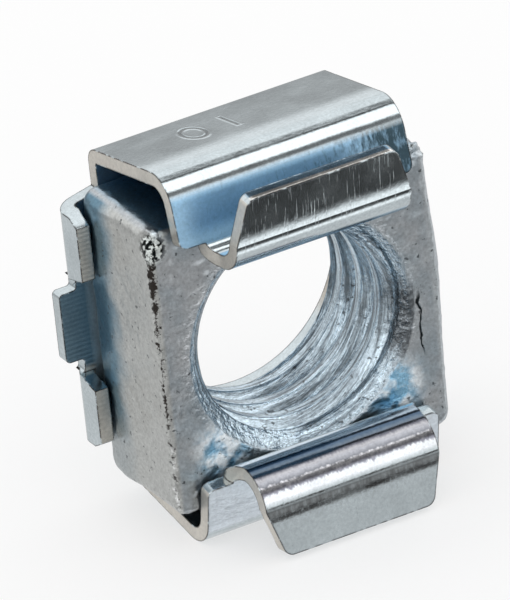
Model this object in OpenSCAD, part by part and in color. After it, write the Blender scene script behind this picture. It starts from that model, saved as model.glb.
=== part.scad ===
// Rack cage nut: a square threaded nut held loosely in a folded spring-steel cage.
// Millimetres. X runs across the strip, Y runs into the nut from its front face
// and Z is up. The origin is on the thread's axis, halfway through the nut.
// The cage clips into a square panel hole: the panel sits between its front plates
// and the tips of its two ears, and the screw enters from the front, between the ears.

/* [Thread] */
// Clear diameter between the thread's crests
thread_minor_d = 8.5; // [7.6:0.1:9]
// Diameter of the countersink on the front face
front_countersink_d = 10.15; // [9.6:0.05:10.8]
// Diameter of the smaller countersink on the rear face
rear_countersink_d = 9.3; // [9.2:0.05:10.2]

/* [Square nut] */
// Width of the nut block
nut_width = 12.7; // [11.6:0.1:13.6]
// Height of the nut block
nut_height = 12.75; // [11.6:0.05:13.2]
// Thickness of the nut block
nut_thickness = 5.65; // [4.6:0.05:6.6]
// How far the bore sits below the middle of the block
bore_offset = 0.05; // [0:0.05:0.5]
// Radius of the block's four long corners
nut_corner_r = 0.65; // [0.3:0.05:1.2]
// Radius round the edges of the rear face
nut_rear_edge_r = 0.6; // [0.3:0.05:1.2]
// Radius round the edges of the front face
nut_front_edge_r = 0.3; // [0.1:0.05:0.6]
// Depth of the hollow along each side face, behind its middle
side_hollow_depth = 0.12; // [0.02:0.02:0.3]
// Width of that hollow
side_hollow_width = 2; // [1:0.1:2.6]

/* [Cage sheet] */
// Thickness of the spring-steel sheet
sheet = 0.6; // [0.4:0.05:0.8]
// Width of the folded strip
strip_width = 10.7; // [9.6:0.1:11.6]
// Angle by which the top and bottom plates open towards the front
flare_angle = 10.3; // [6:0.1:13]
// Inside radius of the rear folds
rear_fold_r = 0.15; // [0.05:0.05:0.4]
// Inside radius of the front folds
front_fold_r = 0.75; // [0.3:0.05:1]
// Lean of the front plates, free edge forwards
front_plate_lean = 12; // [8:0.5:18]
// Radius on the free corners of the front plates
plate_corner_r = 0.35; // [0.1:0.05:0.6]

/* [Ears] */
// Clear way between the two ears
ear_gap = 9; // [8.6:0.1:9.8]
// Height over the tips of both ears
ear_span = 16.1; // [14.6:0.1:17]
// Reach of the ear bends in front of the nut's front face
ear_forward = 3.15; // [2.8:0.05:3.6]
// Lean of the ear blades, tips forwards
ear_lean = 7; // [2:0.5:12]
// Inside radius of the bend that turns each ear back
ear_bend_r = 1; // [0.6:0.05:1.25]
// Slope of the neck between a front plate and its ear bend
neck_drop = 30; // [20:1:38]
// Inside radius of the crease where a neck leaves its front plate
neck_crease_r = 0.2; // [0.1:0.05:0.4]
// Width of the necks where they leave the front plates
ear_root_width = 8.6; // [7.6:0.05:9.4]
// Width of the ears at their bends
ear_bend_width = 8; // [7.2:0.05:8.4]
// Width of the ears at their tips
ear_tip_width = 6.8; // [6:0.05:7.5]
// Radius on the corners of the ear tips
ear_corner_r = 0.45; // [0.2:0.05:1]

/* [Back plate] */
// Diameter of the screw's clearance hole
back_hole_d = 10.3; // [10.1:0.05:10.6]
// Height of each bent side tab, at the plate
bent_tab_height = 3; // [2.2:0.1:3.2]
// Height from the cage's middle to the middle of a bent tab
bent_tab_centre = 3.65; // [3.4:0.05:3.9]
// How far the bent tabs reach forwards from the rear of the plate
bent_tab_reach = 1.85; // [1.4:0.05:2.6]
// Inside radius of the fold that turns a bent tab forwards
tab_fold_r = 0.2; // [0.1:0.05:0.4]
// How much a bent tab narrows on each edge towards its end
tab_edge_slant = 0.3; // [0:0.05:0.6]
// Height of the flat tab in the middle of each side
flat_tab_height = 3.1; // [2:0.1:3.2]
// How far the flat tab stands out past the bent ones
flat_tab_proud = 0.5; // [0.2:0.05:1]
// Depth of the relief notches beside the flat tab, from the faces of the bent tabs
notch_depth = 0.3; // [0.1:0.05:0.7]
// Radius in the corners of the relief notches
notch_r = 0.15; // [0.05:0.05:0.25]
// Height of the sloping shoulder from the strip to a bent tab
shoulder_height = 0.4; // [0.2:0.05:1]

/* [Clearances] */
// Clearance above and below the nut, taken together, between the rear folds
height_play = 0.6; // [0.4:0.05:1.6]
// Gap between the nut's rear face and the back plate
rear_play = 0.15; // [0.1:0.05:0.5]
// Gap between the nut's lower front edge and the lower front plate
front_play = 0.06; // [0.04:0.02:0.4]
// Gap between each side of the nut and the bent tabs
side_play = 0.2; // [0.1:0.05:0.5]
// Gap between the nut's lower rear edge and the bottom plate
rest_gap = 0.16; // [0.02:0.02:0.4]

/* [Hidden] */
$fn = 64;

cage_colour = [0.74, 0.77, 0.80];
nut_colour = [0.62, 0.66, 0.70];
bite = 1; // how far a cutter runs past the face it leaves
hair = 0.0005; // a fold's circle crosses the flats it meets by this much

half = sheet / 2;
nut_front = -nut_thickness / 2;
nut_rear = nut_thickness / 2;
back_inner = nut_rear + rear_play;
back_mid = back_inner + half;
back_outer = back_inner + sheet;
rear_height = nut_height + height_play + 2 * sheet; // over the rear folds

// Points below are [y, z] on the middle surface of the sheet, for the upper half,
// with z measured from the cage's own middle.
rear_fold = [back_mid, rear_height / 2 - half];
// The nut has dropped until its rounded lower rear edge is close to the bottom plate.
// nut_floor is how far the bottom of the nut then is below the cage's middle.
lower_edge_y = nut_rear - nut_rear_edge_r;
plate_below_edge = rear_fold[1] - half / cos(flare_angle)
    + (back_mid - lower_edge_y) * tan(flare_angle);
nut_floor = plate_below_edge - (nut_rear_edge_r + rest_gap) / cos(flare_angle) + nut_rear_edge_r;
cage_middle_z = bore_offset - nut_height / 2 + nut_floor;

// The front plates lean past the rounded lower front edge of the nut.
plate_point = [nut_front + nut_front_edge_r, nut_floor - nut_front_edge_r]
    + (nut_front_edge_r + front_play + half) * [-cos(front_plate_lean), sin(front_plate_lean)];

ear_bend_mid = ear_bend_r + half;
ear_bend_centre = [nut_front - ear_forward + ear_bend_mid + half, ear_gap / 2 + half + ear_bend_mid];
neck_touch = ear_bend_centre + ear_bend_mid * [sin(neck_drop), -cos(neck_drop)];
blade_touch = ear_bend_centre + ear_bend_mid * [-cos(ear_lean), -sin(ear_lean)];

top_heading = 180 - flare_angle;
plate_heading = 270 - front_plate_lean;
neck_heading = 180 + neck_drop;
blade_heading = 90 + ear_lean;

front_fold = meet(rear_fold, top_heading, plate_point, plate_heading);
crease = meet(plate_point, plate_heading, neck_touch, neck_heading);
ear_corner = meet(neck_touch, neck_heading, blade_touch, blade_heading);
ear_tip = meet(blade_touch, blade_heading, [0, ear_span / 2 - half * sin(ear_lean)], 0);
blade_length = norm(ear_tip - blade_touch);
neck_crease_mid = neck_crease_r + half;
plate_edge = tangent_point(crease, front_fold, ear_corner, neck_crease_mid);

tab_inner_x = nut_width / 2 + side_play;
tab_mid_x = tab_inner_x + half;
tab_outer_x = tab_inner_x + sheet;
tab_front = back_outer - bent_tab_reach;
tab_low = bent_tab_centre - bent_tab_height / 2;
tab_high = bent_tab_centre + bent_tab_height / 2;

function unit(v) = v / norm(v);

// Where the line through p at angle a crosses the line through q at angle b
function meet(p, a, q, b) =
    let (d = [cos(a), sin(a)], e = [cos(b), sin(b)], w = q - p)
    p + d * (w[0] * e[1] - w[1] * e[0]) / (d[0] * e[1] - d[1] * e[0]);

// Half the inside angle at corner p of the path from a to c
function half_angle(p, a, c) = acos(unit(a - p) * unit(c - p)) / 2;

// Point on the leg from p to a where a fillet of radius r at corner p begins
function tangent_point(p, a, c, r) = p + unit(a - p) * r / tan(half_angle(p, a, c));

// Centre of a fillet of radius r at corner p
function fillet_centre(p, a, c, r) =
    p + unit(unit(a - p) + unit(c - p)) * r / sin(half_angle(p, a, c));

// A convex outline whose corners are rounded, each with its own radius
module rounded_outline(points, radii) {
    n = len(points);
    before = [for (i = [0 : n - 1]) points[(i + n - 1) % n]];
    after = [for (i = [0 : n - 1]) points[(i + 1) % n]];
    polygon([for (i = [0 : n - 1]) each [
        tangent_point(points[i], before[i], after[i], radii[i]),
        tangent_point(points[i], after[i], before[i], radii[i])
    ]]);
    for (i = [0 : n - 1])
        if (radii[i] > 0)
            translate(fillet_centre(points[i], before[i], after[i], radii[i]))
                circle(r = radii[i]);
}

// Offset from corner p of the path from a to c to the left face of the sheet
function mitre(p, a, c) =
    let (m = left(p - a), n = left(c - p)) (m + n) * half / (1 + m * n);

function left(v) = [-v[1], v[0]] / norm(v);

// Section of a sheet folded along a path. A mitred band is drawn first; then each
// corner is rounded outside and filled inside by two circles about one centre.
// fold_r holds the middle radius at each inner point of the path.
module folded_section(path, fold_r) {
    last = len(path) - 1;
    faces = [for (i = [0 : last])
        i == 0 ? left(path[1] - path[0]) * half
        : i == last ? left(path[last] - path[last - 1]) * half
        : mitre(path[i], path[i - 1], path[i + 1])];
    difference() {
        union() {
            polygon([
                for (i = [0 : last]) path[i] + faces[i],
                for (i = [last : -1 : 0]) path[i] - faces[i]
            ]);
            for (i = [1 : last - 1])
                difference() {
                    fold_wedge(path[i], path[i - 1], path[i + 1], fold_r[i - 1], 1);
                    translate(fillet_centre(path[i], path[i - 1], path[i + 1], fold_r[i - 1]))
                        circle(r = fold_r[i - 1] - half + hair);
                }
        }
        for (i = [1 : last - 1])
            difference() {
                fold_wedge(path[i], path[i - 1], path[i + 1], fold_r[i - 1], 1 + sheet / fold_r[i - 1]);
                translate(fillet_centre(path[i], path[i - 1], path[i + 1], fold_r[i - 1]))
                    circle(r = fold_r[i - 1] + half + hair);
            }
    }
}

// Kite from the centre of the fold at p to its two tangent points, spread from the centre
module fold_wedge(p, a, c, r, spread) {
    centre = fillet_centre(p, a, c, r);
    polygon([
        centre,
        centre + spread * (tangent_point(p, a, c, r) - centre),
        centre + spread * (p - centre),
        centre + spread * (tangent_point(p, c, a, r) - centre)
    ]);
}

// Stands a [y, z] section up across the strip, centred on x = 0
module across(width) {
    rotate([90, 0, 90])
        translate([0, 0, -width / 2])
            linear_extrude(width) children();
}

// Runs an [x, z] outline along Y from y0 to y1
module along_y(y0, y1) {
    translate([0, y1, 0])
        rotate([90, 0, 0])
            linear_extrude(y1 - y0) children();
}

// Places an [x, s] outline in the plane of a sheet, with s along heading from point p
module in_sheet(p, heading, depth) {
    translate([0, p[0], p[1]])
        rotate([heading - 90, 0, 0])
            along_y(-depth, depth) children();
}

function flipped(p) = [p[0], -p[1]];

// The whole strip from the lower ear round the back plate to the upper ear. Each ear
// is drawn past its tip, and as wide as the strip, and is then cut to its outline.
module folded_strip() {
    ear_end = ear_tip + unit(ear_tip - ear_corner) * bite;
    upper = [rear_fold, front_fold, crease, ear_corner, ear_end];
    lower = [for (i = [4 : -1 : 0]) flipped(upper[i])];
    radii = [rear_fold_r + half, front_fold_r + half, neck_crease_mid, ear_bend_mid];
    difference() {
        across(strip_width) folded_section(
            concat(lower, upper),
            concat([for (i = [3 : -1 : 0]) radii[i]], radii)
        );
        for (m = [0, 1])
            mirror([0, 0, m]) {
                ear_surplus();
                for (k = [0, 1]) mirror([k, 0, 0]) plate_corner_surplus();
            }
    }
}

// What is sheared away round the upper ear: all of the strip in front of and below the
// free edge of the front plate, but for the neck and the ear itself
module ear_surplus() {
    root = ear_root_width / 2;
    bend = ear_bend_width / 2;
    tip = ear_tip_width / 2;
    up = unit(front_fold - crease);
    ahead = left(up);
    level = ear_gap / 2 - bite;
    high = ear_span / 2 + 2 * bite;
    foremost = ear_tip[0] - half - 2 * bite;
    difference() {
        across(strip_width + 2 * bite) polygon([
            [plate_edge[0] + sheet, level],
            plate_edge - ahead * sheet,
            plate_edge + ahead * sheet,
            meet(plate_edge + ahead * sheet, plate_heading, [0, high], 0),
            [foremost, high],
            [foremost, level]
        ]);
        in_sheet(ear_tip, blade_heading, 4 * bite) rounded_outline(
            [
                [-bend, -blade_length - sheet], [bend, -blade_length - sheet],
                [bend, -blade_length], [tip, 0], [-tip, 0], [-bend, -blade_length]
            ],
            [0, 0, 0, ear_corner_r, ear_corner_r, 0]
        );
        // The neck, seen from above, narrows from the front plate to the ear bend.
        linear_extrude(blade_touch[1]) polygon([
            [-root, plate_edge[0] + sheet], [root, plate_edge[0] + sheet],
            [root, plate_edge[0]], [bend, ear_bend_centre[0]], [bend, foremost],
            [-bend, foremost], [-bend, ear_bend_centre[0]], [-root, plate_edge[0]]
        ]);
    }
}

// The corner of the front plate's free edge, outside its rounding
module plate_corner_surplus() {
    side = strip_width / 2;
    in_sheet(plate_edge, plate_heading, sheet) difference() {
        translate([side - plate_corner_r, -plate_corner_r])
            square([plate_corner_r + bite, plate_corner_r + bite / 4]);
        translate([side - plate_corner_r, -plate_corner_r]) circle(r = plate_corner_r + hair);
    }
}

// One side of the back plate, with the flat tab between its two relief notches
module flat_tab() {
    strip_x = strip_width / 2;
    tab_h = flat_tab_height / 2;
    end_x = tab_outer_x + flat_tab_proud;
    floor_x = tab_outer_x - notch_depth;
    end_r = sheet / 3;
    corner = min(notch_r, (tab_low - tab_h) / 2 - hair);
    along_y(back_inner, back_outer) {
        rounded_outline(
            [[strip_x, -tab_h], [end_x, -tab_h], [end_x, tab_h], [strip_x, tab_h]],
            [0, end_r, end_r, 0]
        );
        difference() {
            translate([strip_x, -tab_low]) square([tab_outer_x - strip_x, 2 * tab_low]);
            for (m = [0, 1])
                mirror([0, m]) rounded_outline(
                    [
                        [floor_x, tab_h], [tab_outer_x + bite, tab_h],
                        [tab_outer_x + bite, tab_low], [floor_x, tab_low]
                    ],
                    [corner, 0, 0, corner]
                );
        }
    }
}

// A side tab folded forwards past the side of the nut
module bent_tab() {
    strip_x = strip_width / 2;
    intersection() {
        translate([0, 0, tab_low]) linear_extrude(shoulder_height + bent_tab_height)
            folded_section(
                [[strip_x, back_mid], [tab_mid_x, back_mid], [tab_mid_x, tab_front]],
                [tab_fold_r + half]
            );
        along_y(tab_front - bite, back_outer + bite) polygon([
            [strip_x, tab_low], [tab_outer_x, tab_low],
            [tab_outer_x, tab_high], [strip_x, tab_high + shoulder_height]
        ]);
        rotate([90, 0, 90]) linear_extrude(tab_outer_x) polygon([
            [back_outer, tab_low], [back_inner, tab_low],
            [tab_front, tab_low + tab_edge_slant], [tab_front, tab_high - tab_edge_slant],
            [back_inner, tab_high + shoulder_height], [back_outer, tab_high + shoulder_height]
        ]);
    }
}

module cage() {
    color(cage_colour) translate([0, 0, cage_middle_z]) difference() {
        union() {
            folded_strip();
            for (m = [0, 1])
                mirror([m, 0, 0]) {
                    flat_tab();
                    bent_tab();
                    mirror([0, 0, 1]) bent_tab();
                }
        }
        along_y(back_inner - bite, back_outer + bite) circle(d = back_hole_d);
    }
}

// The block is the overlap of three rounded outlines, one along each axis
module nut_block() {
    w = nut_width / 2;
    h = nut_height / 2;
    f = nut_front_edge_r;
    r = nut_rear_edge_r;
    c = nut_corner_r;
    intersection() {
        along_y(nut_front, nut_rear)
            rounded_outline([[-w, -h], [w, -h], [w, h], [-w, h]], [c, c, c, c]);
        across(nut_width) rounded_outline(
            [[nut_front, -h], [nut_rear, -h], [nut_rear, h], [nut_front, h]], [f, r, r, f]);
        translate([0, 0, -h]) linear_extrude(nut_height) rounded_outline(
            [[-w, nut_front], [w, nut_front], [w, nut_rear], [-w, nut_rear]], [f, f, r, r]);
    }
}

// Bore for the thread, with a countersink at each face
module threaded_bore() {
    r = thread_minor_d / 2;
    front_r = front_countersink_d / 2;
    rear_r = rear_countersink_d / 2;
    front_depth = front_r - r;
    rear_depth = rear_r - r;
    rotate([-90, 0, 0]) rotate_extrude() polygon([
        [0, nut_front - bite], [front_r + bite, nut_front - bite],
        [r, nut_front + front_depth], [r, nut_rear - rear_depth],
        [rear_r + bite, nut_rear + bite], [0, nut_rear + bite]
    ]);
}

// Shallow cylindrical hollow that forming leaves along a side face
module side_hollow() {
    chord = side_hollow_width / 2;
    r = (chord * chord + side_hollow_depth * side_hollow_depth) / (2 * side_hollow_depth);
    translate([nut_width / 2 - side_hollow_depth + r, nut_rear - nut_rear_edge_r - 1.1 * chord, 0])
        cylinder(r = r, h = nut_height + 2 * bite, center = true);
}

module square_nut() {
    color(nut_colour) difference() {
        translate([0, 0, bore_offset]) nut_block();
        threaded_bore();
        for (m = [0, 1]) mirror([m, 0, 0]) side_hollow();
    }
}

cage();
square_nut();
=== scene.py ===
"""Looks of a rack cage nut: a zinc-plated square nut in a folded spring-steel cage."""

import math

import bmesh
import bpy
import numpy as np
from mathutils import Matrix, Vector


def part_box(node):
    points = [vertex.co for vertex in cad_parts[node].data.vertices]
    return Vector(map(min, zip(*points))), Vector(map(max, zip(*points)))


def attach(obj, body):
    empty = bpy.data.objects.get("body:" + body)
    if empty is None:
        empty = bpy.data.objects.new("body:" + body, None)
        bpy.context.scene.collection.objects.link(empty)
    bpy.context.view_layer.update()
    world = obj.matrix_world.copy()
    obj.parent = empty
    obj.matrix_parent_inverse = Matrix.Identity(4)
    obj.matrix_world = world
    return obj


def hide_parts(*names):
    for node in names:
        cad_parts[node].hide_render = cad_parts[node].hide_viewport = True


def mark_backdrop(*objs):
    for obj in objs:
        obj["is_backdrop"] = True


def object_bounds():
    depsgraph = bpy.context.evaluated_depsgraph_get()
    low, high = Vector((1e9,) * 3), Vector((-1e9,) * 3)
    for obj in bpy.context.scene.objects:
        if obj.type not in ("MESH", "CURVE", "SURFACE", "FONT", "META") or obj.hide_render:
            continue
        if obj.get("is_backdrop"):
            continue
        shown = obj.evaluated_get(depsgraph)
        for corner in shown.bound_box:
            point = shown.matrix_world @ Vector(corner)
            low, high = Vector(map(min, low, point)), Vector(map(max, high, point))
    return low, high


bl_info = {
    "name": "Rack Cage Nut",
    "version": (1, 0, 0),
    "blender": (4, 5, 0),
    "location": "3D View > Sidebar > Cage Nut",
    "description": "Builds a zinc-plated square nut with its thread and finishes its spring-steel cage",
    "category": "Object",
}

MM = 0.001  # metres in a millimetre

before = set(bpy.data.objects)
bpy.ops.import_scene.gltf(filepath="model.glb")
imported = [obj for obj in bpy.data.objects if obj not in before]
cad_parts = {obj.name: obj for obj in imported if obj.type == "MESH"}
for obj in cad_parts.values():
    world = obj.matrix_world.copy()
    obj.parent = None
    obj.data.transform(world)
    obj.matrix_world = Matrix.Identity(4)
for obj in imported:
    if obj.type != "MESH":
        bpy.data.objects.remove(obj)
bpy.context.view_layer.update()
NUT_LOW, NUT_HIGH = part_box("square_nut")
CAGE_LOW, CAGE_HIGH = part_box("cage")
CAGE_MIDDLE = (CAGE_LOW.z + CAGE_HIGH.z) / 2 / MM
FRONT = NUT_LOW.y / MM  # the nut's front face
REAR = NUT_HIGH.y / MM
HALF_WIDTH = NUT_HIGH.x / MM
NUT_TOP = NUT_HIGH.z / MM


# ---------------------------------------------------------------- colours and nodes


def linear(code):
    """Turns an sRGB hex colour, such as b9bec2, into linear red, green, blue and 1."""
    parts = [int(code[i : i + 2], 16) / 255 for i in (0, 2, 4)]
    return [c / 12.92 if c <= 0.04045 else ((c + 0.055) / 1.055) ** 2.4 for c in parts] + [1.0]


def add(tree, kind, inputs=(), out=0, **settings):
    """Adds one node with its settings, fills or links its inputs, and returns one of its outputs."""
    made = tree.nodes.new("ShaderNode" + kind)
    for key, value in settings.items():
        setattr(made, key, value)
    for key, value in inputs.items() if isinstance(inputs, dict) else enumerate(inputs):
        if isinstance(value, bpy.types.NodeSocket):
            tree.links.new(value, made.inputs[key])
        else:
            made.inputs[key].default_value = value
    return made.outputs[out] if len(made.outputs) else made


def blank(name):
    """New material with an empty node tree, and that tree."""
    made = bpy.data.materials.new(name)
    made.use_nodes = True
    made.node_tree.nodes.clear()
    return made, made.node_tree


def fill_ramp(ramp, stops):
    """Gives a colour ramp its stops, each a position and a linear colour, in rising order."""
    while len(ramp.elements) < len(stops):
        ramp.elements.new(0.5)
    for element, (at, colour) in zip(ramp.elements, stops):
        element.position = at
        element.color = colour


# How a Mix node blends two colours, its inputs 6 and 7, or two values, its inputs 2 and 3.
RGBA = {"out": 2, "data_type": "RGBA"}
FLOAT = {"out": 0, "data_type": "FLOAT"}


# ---------------------------------------------------------------- settings


LENGTH = {"unit": "LENGTH", "precision": 5}
COLOUR = {"size": 3, "min": 0, "max": 1, "subtype": "COLOR"}


class NutSettings(bpy.types.PropertyGroup):
    """Sizes of the nut that its solid leaves out, and the colours of its finish."""

    pitch: bpy.props.FloatProperty(
        name="Pitch", description="Distance between thread crests",
        default=1.5 * MM, min=0.5 * MM, max=3 * MM, **LENGTH,
    )
    crest_radius: bpy.props.FloatProperty(
        name="Crest radius", description="Radius of the bore between the thread's crests",
        default=4.25 * MM, min=2 * MM, max=5 * MM, **LENGTH,
    )
    thread_depth: bpy.props.FloatProperty(
        name="Thread depth", description="Depth of the thread from crest to root",
        default=0.5 * MM, min=0.1 * MM, max=1.2 * MM, **LENGTH,
    )
    front_rim: bpy.props.FloatProperty(
        name="Front countersink", description="Radius of the countersink on the front face",
        default=5.075 * MM, min=4 * MM, max=6 * MM, **LENGTH,
    )
    rear_rim: bpy.props.FloatProperty(
        name="Rear countersink", description="Radius of the countersink on the rear face",
        default=4.65 * MM, min=4 * MM, max=6 * MM, **LENGTH,
    )
    corner: bpy.props.FloatProperty(
        name="Corner radius", description="Radius of the block's four long corners",
        default=0.65 * MM, min=0.1 * MM, max=2 * MM, **LENGTH,
    )
    front_edge: bpy.props.FloatProperty(
        name="Front edge", description="Radius round the front face",
        default=0.3 * MM, min=0.05 * MM, max=0.6 * MM, **LENGTH,
    )
    rear_edge: bpy.props.FloatProperty(
        name="Rear edge", description="Radius round the rear face",
        default=0.6 * MM, min=0.05 * MM, max=0.64 * MM, **LENGTH,
    )
    zinc: bpy.props.FloatVectorProperty(
        name="Zinc", description="Colour of the dull zinc on the faces",
        default=linear("c0c4c7")[:3], **COLOUR,
    )
    # Painted shade on the block's top, under the cage, in blue.
    blue_film_and_shade: bpy.props.FloatVectorProperty(
        name="Blue film", description="Colour of the thick film on the block's top",
        default=linear("7fa6be")[:3], **COLOUR,
    )
    sheared: bpy.props.FloatVectorProperty(
        name="Sheared steel", description="Colour of torn, scaly steel at the sheared edges",
        default=linear("393532")[:3], **COLOUR,
    )


class CageSettings(bpy.types.PropertyGroup):
    """Finish of the folded sheet."""

    edge_radius: bpy.props.FloatProperty(
        name="Edge radius", description="Radius that blanking and plating leave on the sheet's edges",
        default=0.1 * MM, min=0.01 * MM, max=0.2 * MM, **LENGTH,
    )
    ear_round_level: bpy.props.FloatProperty(
        name="Ear round level",
        description="Height over the cage's middle where an ear's own lean is kept, in mm",
        default=6.6, min=4, max=12,
    )
    ear_round: bpy.props.FloatProperty(
        name="Ear roundness", description="How fast an ear leans back below that height, per mm",
        default=0.1, min=0, max=0.2,
    )
    zinc: bpy.props.FloatVectorProperty(
        name="Zinc", description="Colour of the bright zinc",
        default=linear("c9d3d7")[:3], **COLOUR,
    )
    # Blue of the film on the upper front plate, which is partly painted shade.
    blue_film_and_shade: bpy.props.FloatVectorProperty(
        name="Blue film", description="Colour where the passivation film is thick",
        default=linear("9cc2de")[:3], **COLOUR,
    )
    sheared: bpy.props.FloatVectorProperty(
        name="Sheared edge", description="Colour of the thinly plated sheared edges",
        default=linear("dcd8d0")[:3], **COLOUR,
    )
    # Dark edge lines: partly stain on the burrs, partly painted shade.
    stain_and_shade: bpy.props.FloatVectorProperty(
        name="Stained edge", description="Colour of the stained burrs along the sheet's edges",
        default=linear("322e2c")[:3], **COLOUR,
    )


class StudioSettings(bpy.types.PropertyGroup):
    """Camera and surroundings."""

    azimuth: bpy.props.FloatProperty(
        name="Azimuth", description="Camera's angle round the object from straight in front",
        default=math.radians(-26.759), subtype="ANGLE",
    )
    elevation: bpy.props.FloatProperty(
        name="Elevation", description="Camera's angle above the horizon",
        default=math.radians(26.957), subtype="ANGLE",
    )
    roll: bpy.props.FloatProperty(
        name="Roll", description="Turn of the camera about its own line of sight",
        default=math.radians(-6.397), subtype="ANGLE",
    )
    distance: bpy.props.FloatProperty(
        name="Distance", description="From the camera to the nut's front face",
        default=588 * MM, min=50 * MM, unit="LENGTH",
    )
    aside: bpy.props.FloatProperty(
        name="Aside", description="How far the camera stands to the right of its target",
        default=-1.8246 * MM, **LENGTH,
    )
    above: bpy.props.FloatProperty(
        name="Above", description="How far the camera stands over its target",
        default=1.2673 * MM, **LENGTH,
    )
    lens: bpy.props.FloatProperty(
        name="Lens", description="Focal length in millimetres", default=884.7, min=20, max=2000,
    )
    floor_colour: bpy.props.FloatVectorProperty(
        name="Floor", description="Colour of the pale floor",
        default=(0.97, 0.97, 0.97), **COLOUR,
    )


# ---------------------------------------------------------------- shapes


def value_noise(points, cell, seed):
    """Smooth noise from -1 to 1: random values on a cubic lattice, blended inside each cell."""
    side = 32
    lattice = np.random.RandomState(seed).uniform(-1, 1, (side, side, side))
    scaled = points / cell
    low = np.floor(scaled).astype(int)
    part = scaled - low
    part = part * part * (3 - 2 * part)
    total = np.zeros(points.shape[:-1])
    for corner in np.ndindex(2, 2, 2):
        index = (low + corner) % side
        share = np.where(np.array(corner) == 1, part, 1 - part).prod(axis=-1)
        total += share * lattice[index[..., 0], index[..., 1], index[..., 2]]
    return total


def rough_noise(points, cell, seed, octaves=3):
    """Sum of value noises, each half as coarse and half as strong as the last."""
    return sum(value_noise(points, cell / 2**i, seed + i) / 2**i for i in range(octaves))


def hump(value, centre, half_width):
    """Bell that is 1 at centre and falls to about 0 at twice half_width."""
    return np.exp(-(((value - centre) / half_width) ** 2))


def block_outline(width, height, corner, middle_z, along=64, round_steps=18):
    """Rounded rectangle seen along Y, as points of its core and outward directions.

    A point of the outline is core + corner * direction. Each of the four sides keeps one
    direction while its core point runs along the side, and each corner keeps one core
    point while its direction turns through a right angle.
    """
    half_x, half_z = width / 2 - corner, height / 2 - corner
    ends = np.array([[1, -1], [1, 1], [-1, 1], [-1, -1]]) * [half_x, half_z]
    run = np.linspace(0, 1, along, endpoint=False)[:, None]
    turn = np.linspace(0, 1, round_steps, endpoint=False)
    core, angle = [], []
    for side in range(4):
        start, end = ends[side], ends[(side + 1) % 4]
        core += [start + (end - start) * run, np.repeat(end[None], round_steps, 0)]
        angle += [np.full(along, side * 90.0), side * 90.0 + 90 * turn]
    core = np.vstack(core) + [0, middle_z]
    angle = np.radians(np.concatenate(angle))
    return core, np.stack([np.cos(angle), np.sin(angle)], axis=1)


def grid_mesh(name, points):
    """Mesh of a grid of points in mm that is closed both ways; its faces look outwards."""
    rows, columns = points.shape[:2]
    index = np.arange(rows * columns).reshape(rows, columns)
    across = np.roll(index, -1, axis=1)
    corners = [index, across, np.roll(across, -1, axis=0), np.roll(index, -1, axis=0)]
    faces = np.stack(corners, axis=-1).reshape(-1, 4)
    flat = points.reshape(-1, 3)
    a, b, c, d = (flat[faces[:, i]] for i in range(4))
    if np.einsum("ij,ij->i", np.cross(c - a, d - b), (a + c) / 2).sum() < 0:
        faces = faces[:, ::-1]
    mesh = bpy.data.meshes.new(name)
    mesh.from_pydata((flat * MM).tolist(), [], faces.tolist())
    mesh.polygons.foreach_set("use_smooth", np.ones(len(faces), bool))
    mesh.update()
    return mesh


def outward(points):
    """Direction of each point of a grid closed both ways, from its neighbours' differences."""
    along = np.roll(points, -1, axis=0) - np.roll(points, 1, axis=0)
    across = np.roll(points, -1, axis=1) - np.roll(points, 1, axis=1)
    direction = np.cross(along, across)
    direction /= np.linalg.norm(direction, axis=-1, keepdims=True) + 1e-12
    inwards = (direction * points).sum() < 0
    return -direction if inwards else direction


GROOVE_HALF = 0.56  # half the width of the thread's groove, flanks and all, in mm
FLANK = 0.43  # width of one flank of the groove, in mm
COARSE_PITCH = 1.5  # pitch for which that groove is given, in mm


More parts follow.
